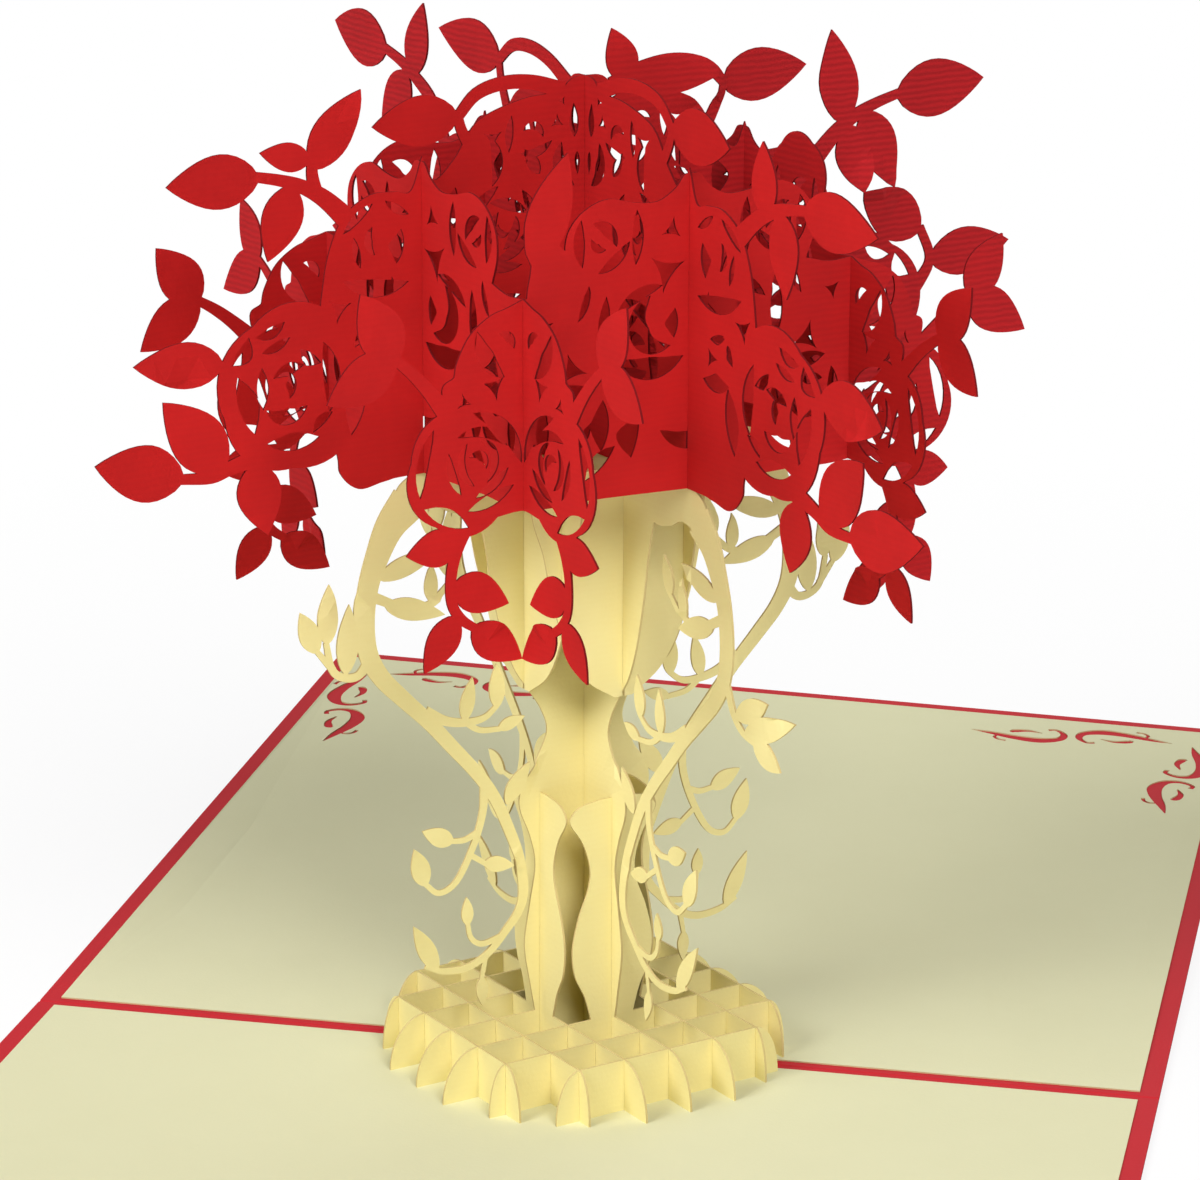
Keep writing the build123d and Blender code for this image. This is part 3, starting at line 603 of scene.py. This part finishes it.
def solid_sheet(name, outlines, place, thick, step=0, lift=None):
    """Closed sheet with its faces in the first material and its cut edge in the second.

    Each point goes where place puts it, and lift is how far it rises out of the plane."""
    verts, tris = flat_faces(*outlines, step)
    used = sorted({v for tri in tris for v in tri})
    number = {v: k for k, v in enumerate(used)}
    count = len(used)
    front, back = [], []
    for v in used:
        rise = lift(*verts[v]) if lift else 0
        front.append(place(*verts[v], thick / 2 + rise) * MM)
        back.append(place(*verts[v], -thick / 2 + rise) * MM)
    faces = [[number[v] for v in tri] for tri in tris]
    rims = {}
    for a, b, c in faces:
        for edge in ((a, b), (b, c), (c, a)):
            rims[edge] = True
    edges = [(a, b) for a, b in rims if (b, a) not in rims]
    polygons = faces + [[v + count for v in reversed(tri)] for tri in faces]
    flat = len(polygons)
    polygons += [[b, a, a + count, b + count] for a, b in edges]
    mesh = bpy.data.meshes.new(name)
    mesh.from_pydata(front + back, [], polygons)
    mesh.polygons.foreach_set("material_index", [0] * flat + [1] * len(edges))
    mesh.validate()
    mesh.update()
    obj = bpy.data.objects.new(name, mesh)
    bpy.context.scene.collection.objects.link(obj)
    return obj


def slice_place(along, normal, offset, height):
    """Where a point of a slice lies in the row frame, in millimetres."""
    along, normal = Vector(along).normalized(), Vector(normal).normalized()
    origin = normal * offset + Vector((0, 0, LINER_TOP + height))

    def place(u, z, out):
        return origin + along * u + Vector((0, 0, z)) + normal * out
    return place


# Materials

def node(tree, kind, inputs=None, **props):
    """A shader node with its properties and unlinked inputs set."""
    made = tree.nodes.new(kind)
    for key, value in props.items():
        setattr(made, key, value)
    for key, value in (inputs or {}).items():
        made.inputs[key].default_value = value
    return made


def paper(name, colour, shade, lines, rough, back=None):
    """Paper with fibres, a slight mottle and fine laid lines.

    With a back colour, the colour darkens towards the back of the card as painted shade, and the laid lines
    grow stronger there."""
    mat = bpy.data.materials.new(name)
    mat.use_nodes = True
    tree = mat.node_tree
    link = tree.links.new
    bsdf = tree.nodes["Principled BSDF"]
    bsdf.inputs["Roughness"].default_value = rough
    bsdf.inputs["Specular IOR Level"].default_value = PAPER_SPECULAR
    coords = node(tree, "ShaderNodeTexCoord")
    mottle = node(tree, "ShaderNodeTexNoise", MOTTLE)
    link(coords.outputs["Object"], mottle.inputs["Vector"])
    laid = node(tree, "ShaderNodeTexWave", LAID, bands_direction="Z")
    link(coords.outputs["Object"], laid.inputs["Vector"])
    depth = node(tree, "ShaderNodeSeparateXYZ")
    link(coords.outputs["Object"], depth.inputs[0])
    # Painted shade: towards the back of the card the colour goes over to the darker back colour, and the laid
    # lines strengthen
    least = SHADE_AND_LINES_AT_FRONT if back else 1.0
    share = node(tree, "ShaderNodeMapRange",
                 {"From Min": SHADE_AND_LINES_FROM, "From Max": SHADE_AND_LINES_TO, "To Min": least})
    link(depth.outputs["Y"], share.inputs["Value"])
    ridges = node(tree, "ShaderNodeMath", operation="MULTIPLY")
    link(laid.outputs["Fac"], ridges.inputs[0])
    link(share.outputs["Result"], ridges.inputs[1])
    back_shaded_tone = node(tree, "ShaderNodeMix", data_type="RGBA")
    back_shaded_tone.inputs[MIX_A].default_value = (*colour, 1)
    back_shaded_tone.inputs[MIX_B].default_value = (*(back or colour), 1)
    link(share.outputs["Result"], back_shaded_tone.inputs[MIX_SHARE])
    dark = node(tree, "ShaderNodeMath", operation="MULTIPLY_ADD")
    link(ridges.outputs[0], dark.inputs[0])
    dark.inputs[1].default_value = lines
    link(mottle.outputs["Fac"], dark.inputs[2])
    part = node(tree, "ShaderNodeMath", {1: MOTTLE_SHARE}, operation="MULTIPLY", use_clamp=True)
    link(dark.outputs[0], part.inputs[0])
    mix = node(tree, "ShaderNodeMix", data_type="RGBA")
    link(part.outputs[0], mix.inputs[MIX_SHARE])
    link(back_shaded_tone.outputs[MIX_OUT], mix.inputs[MIX_A])
    mix.inputs[MIX_B].default_value = (*shade, 1)
    link(mix.outputs[MIX_OUT], bsdf.inputs["Base Color"])
    fibre = node(tree, "ShaderNodeTexNoise", FIBRE)
    link(coords.outputs["Object"], fibre.inputs["Vector"])
    height = node(tree, "ShaderNodeMath", operation="MULTIPLY_ADD")
    link(ridges.outputs[0], height.inputs[0])
    height.inputs[1].default_value = lines
    link(fibre.outputs["Fac"], height.inputs[2])
    bump = node(tree, "ShaderNodeBump", RELIEF)
    link(height.outputs[0], bump.inputs["Height"])
    link(bump.outputs["Normal"], bsdf.inputs["Normal"])
    return mat


def burnt_edge(name, colour, dark):
    """Laser cut edge, browned unevenly."""
    mat = bpy.data.materials.new(name)
    mat.use_nodes = True
    tree = mat.node_tree
    bsdf = tree.nodes["Principled BSDF"]
    bsdf.inputs["Roughness"].default_value = EDGE_ROUGH
    bsdf.inputs["Specular IOR Level"].default_value = EDGE_SPECULAR
    coords = node(tree, "ShaderNodeTexCoord")
    noise = node(tree, "ShaderNodeTexNoise", BROWNING)
    tree.links.new(coords.outputs["Object"], noise.inputs["Vector"])
    mix = node(tree, "ShaderNodeMix", data_type="RGBA")
    mix.inputs[MIX_A].default_value = (*dark, 1)
    mix.inputs[MIX_B].default_value = (*colour, 1)
    tree.links.new(noise.outputs["Fac"], mix.inputs[MIX_SHARE])
    tree.links.new(mix.outputs[MIX_OUT], bsdf.inputs["Base Color"])
    return mat


# Red paper; its last colour is painted shade, the darker red it takes towards the back of the card
RED_FACE = paper("rose_red_paper", (0.57, 0.012, 0.011), (0.20, 0.007, 0.009), 0.7, 0.8,
                 (0.49, 0.013, 0.017))
RED_EDGE = burnt_edge("rose_red_edge", (0.23, 0.009, 0.011), (0.10, 0.006, 0.008))
CREAM_FACE = paper("vase_cream_paper", (0.83, 0.74, 0.35), (0.77, 0.65, 0.27), 0.12, 0.75)
CREAM_EDGE = burnt_edge("vase_cream_edge", (0.72, 0.58, 0.26), (0.50, 0.38, 0.16))
LINER_FACE = paper("liner_pale_paper", (0.69, 0.68, 0.445), (0.65, 0.64, 0.40), 0.10, 0.8)
LINER_EDGE = burnt_edge("liner_pale_edge", (0.60, 0.50, 0.28), (0.40, 0.30, 0.16))
COVER_FACE = paper("cover_red_card", (0.50, 0.020, 0.028), (0.42, 0.016, 0.024), 0.10, 0.7)
COVER_EDGE = burnt_edge("cover_red_edge", (0.40, 0.014, 0.02), (0.22, 0.010, 0.014))


# Pieces

def finish_piece(obj, node_name, materials):
    """The piece takes its materials, rides on the card and replaces its solid."""
    for mat in materials:
        obj.data.materials.append(mat)
    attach(obj, "root")
    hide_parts(node_name)


def leaf_lift(leaves, amount):
    """Lets each leaf of a slice curl a little out of the plane towards its tip.

    The curl fades out from a leaf's sides to half as far again, and soon past its tip."""
    curls = []
    for k, (bu, bz, tu, tz, half) in enumerate(leaves):
        way = amount * (1 if k % 2 else LEAF_COUNTER)
        curls.append((Vector((bu, bz)), Vector((tu - bu, tz - bz)), half, way))

    def lift(u, z):
        point = Vector((u, z))
        rise = 0
        for base, along, half, way in curls:
            t = (point - base).dot(along) / along.length_squared
            off = (point - base - along * t).length
            if t > 0:
                beside = min(1, max(0, 3 - 2 * off / half))
                beyond = min(1, max(0, 7 - 6 * t))
                rise += beside * beyond * way * along.length * t * t
        return rise
    return lift


def make_slices():
    """The two families of slices, with the same planes as their solids.

    A family is its letter, its directions along and across, whether its slots
    open at the top, and where the other family's middle bouquet slice crosses."""
    families = (("p", (1, 1, 0), (1, -1, 0), True, -PAPER),
                ("q", (1, -1, 0), (-1, -1, 0), False, PAPER))
    cream = ("vase_cream", (CREAM_FACE, CREAM_EDGE))
    red = ("rose_red", (RED_FACE, RED_EDGE))
    for family, along, normal, top, axis in families:
        slices = [(f"vase_{family}", 0, 0, vase_slice(top), cream),
                  (f"rose_{family}_mid", PAPER, RIM, rose_mid_slice(f"{family}_mid", top, axis), red)]
        for side, way in (("front", 1), ("back", -1)):
            rose = rose_side_slice(f"{family}_{side}", top, axis)
            slices.append((f"body_{family}_{side}", way * PITCH, 0, body_slice(top), cream))
            for k in range(2, RINGS + 1):
                slices.append((f"base_{family}_{side}_{k}", way * k * PITCH, 0, base_slice(k, top), cream))
            slices.append((f"bowl_{family}_{side}", way * BOWL_OFF, 0, bowl_slice(top), cream))
            slices.append((f"rose_{family}_{side}", way * ROSE_OFF, RIM, rose, red))
        for name, offset, height, (adds, cuts, leaves), (slot_name, materials) in slices:
            lift = leaf_lift(leaves, LEAF_CURL) if leaves else None
            place = slice_place(along, normal, offset, height)
            obj = solid_sheet(f"{name}_cut", (adds, cuts), place, PAPER, MESH_STEP if leaves else 0, lift)
            finish_piece(obj, name, materials)


def curl(x, y):
    """How far the card's back half has lifted off the table at a point."""
    if y < CURL_FROM:
        return 0
    side = CURL_MIDDLE - CURL_SKEW * x / CARD_HIGH.x
    return side * ((y - CURL_FROM) / (CARD_HIGH.y - CURL_FROM)) ** CURL_POWER


def card_place(low, high, score=0):
    """Where a point of a sheet of the card is, with the fold scored into its top."""
    def place(x, y, out):
        pressed = score if out > 0 and abs(y) < ON_FOLD else 0
        return Vector((x, y, (low + high) / 2 + out + curl(x, y) - pressed))
    return place


def rectangle(low_x, low_y, high_x, high_y):
    """Corners of a level rectangle."""
    return [(low_x, low_y), (high_x, low_y), (high_x, high_y), (low_x, high_y)]


def card_sheet(name, box, adds, cuts, score=0):
    """A sheet of the card between the heights of its solid."""
    low, high = box[0].z, box[1].z
    return solid_sheet(name, (adds, cuts), card_place(low, high, score), high - low, CARD_STEP)


def make_card():
    """Cover with its scored fold, and the liners with the scrolls cut in the back one."""
    lines = [CARD_LOW.y, -SCORE_W / 2, 0, SCORE_W / 2, CARD_HIGH.y]
    strips = [rectangle(CARD_LOW.x, a, CARD_HIGH.x, b) for a, b in zip(lines, lines[1:])]
    cover = card_sheet("cover_sheet", (CARD_LOW, CARD_HIGH), strips, [], SCORE_D)
    finish_piece(cover, "cover", (COVER_FACE, COVER_EDGE))
    scrolls = both([cut for place in SCROLLS for cut in scroll_pair(*place)])
    for name, (low, high), cuts in (("liner_back", (LINER_LOW, LINER_HIGH), scrolls),
                                    ("liner_front", (FRONT_LOW, FRONT_HIGH), [])):
        liner = card_sheet(f"{name}_cut", (low, high), [rectangle(low.x, low.y, high.x, high.y)], cuts)
        finish_piece(liner, name, (LINER_FACE, LINER_EDGE))


# Stage, light and camera

def seen_background(tree):
    """1 for what the camera sees straight, in gloss or through glass, else 0."""
    light = node(tree, "ShaderNodeLightPath")
    total = light.outputs["Is Camera Ray"]
    for ray in ("Is Glossy Ray", "Is Transmission Ray"):
        added = node(tree, "ShaderNodeMath", operation="ADD", use_clamp=True)
        tree.links.new(total, added.inputs[0])
        tree.links.new(light.outputs[ray], added.inputs[1])
        total = added.outputs[0]
    return total


def make_stage():
    """Plain pale floor that keeps the shadow near the card and is white further off."""
    mesh = bpy.data.meshes.new("floor")
    corners = rectangle(-FLOOR_REACH, -FLOOR_REACH, FLOOR_REACH, FLOOR_REACH)
    mesh.from_pydata([(x, y, FLOOR_Z) for x, y in corners], [], [(0, 1, 2, 3)])
    floor = bpy.data.objects.new("floor", mesh)
    bpy.context.scene.collection.objects.link(floor)
    mat = bpy.data.materials.new("floor_white")
    mat.use_nodes = True
    tree = mat.node_tree
    link = tree.links.new
    bsdf = tree.nodes["Principled BSDF"]
    bsdf.inputs["Base Color"].default_value = FLOOR_TONE
    bsdf.inputs["Roughness"].default_value = FLOOR_ROUGH
    glow = node(tree, "ShaderNodeEmission", {"Color": (1, 1, 1, 1), "Strength": 1.0})
    coords = node(tree, "ShaderNodeTexCoord")
    away = node(tree, "ShaderNodeVectorMath", operation="LENGTH")
    link(coords.outputs["Object"], away.inputs[0])
    share = node(tree, "ShaderNodeMapRange", GLOW)
    link(away.outputs["Value"], share.inputs["Value"])
    factor = node(tree, "ShaderNodeMath", operation="MULTIPLY")
    link(seen_background(tree), factor.inputs[0])
    link(share.outputs["Result"], factor.inputs[1])
    mixed = node(tree, "ShaderNodeMixShader")
    link(factor.outputs[0], mixed.inputs[0])
    link(bsdf.outputs[0], mixed.inputs[1])
    link(glow.outputs[0], mixed.inputs[2])
    link(mixed.outputs[0], tree.nodes["Material Output"].inputs["Surface"])
    mesh.materials.append(mat)


def area_light(name, place, target, size, power):
    """Soft box aimed at a point."""
    data = bpy.data.lights.new(name, "AREA")
    data.shape = "DISK"
    data.size = size
    data.energy = power
    obj = bpy.data.objects.new(name, data)
    obj.location = place
    obj.rotation_mode = "QUATERNION"
    obj.rotation_quaternion = (Vector(target) - Vector(place)).to_track_quat("-Z", "Y")
    bpy.context.scene.collection.objects.link(obj)


def make_light():
    """Soft lamps at the front right, the front left and, weaker, behind; pale surroundings."""
    for lamp in LAMPS:
        area_light(*lamp)
    world = bpy.data.worlds.new("studio")
    bpy.context.scene.world = world
    world.use_nodes = True
    tree = world.node_tree
    sky = tree.nodes["Background"]
    sky.inputs["Color"].default_value = (1, 1, 1, 1)
    level = node(tree, "ShaderNodeMapRange", {"To Min": WORLD_LEVEL, "To Max": 1.0})
    tree.links.new(seen_background(tree), level.inputs["Value"])
    tree.links.new(level.outputs["Result"], sky.inputs["Strength"])


def make_camera():
    """Camera at the photograph's angle: from the front, a little right and above."""
    x, y, z = CAMERA_PLACE
    place = Vector((x, y, z + LINER_TOP * MM))
    right = Vector(CAMERA_RIGHT).normalized()
    forward = Vector(CAMERA_FORWARD).normalized()
    up = right.cross(forward).normalized()
    data = bpy.data.cameras.new("camera")
    data.sensor_width = SENSOR
    data.lens = LENS
    data.clip_start = CLIP_FROM
    data.clip_end = CLIP_TO
    obj = bpy.data.objects.new("camera", data)
    turn = Matrix((right, up, -forward)).transposed()
    obj.matrix_world = Matrix.Translation(place) @ turn.to_4x4()
    bpy.context.scene.collection.objects.link(obj)
    bpy.context.scene.camera = obj


make_card()
make_slices()
make_stage()
make_light()
make_camera()
bpy.context.scene.view_settings.view_transform = "Standard"
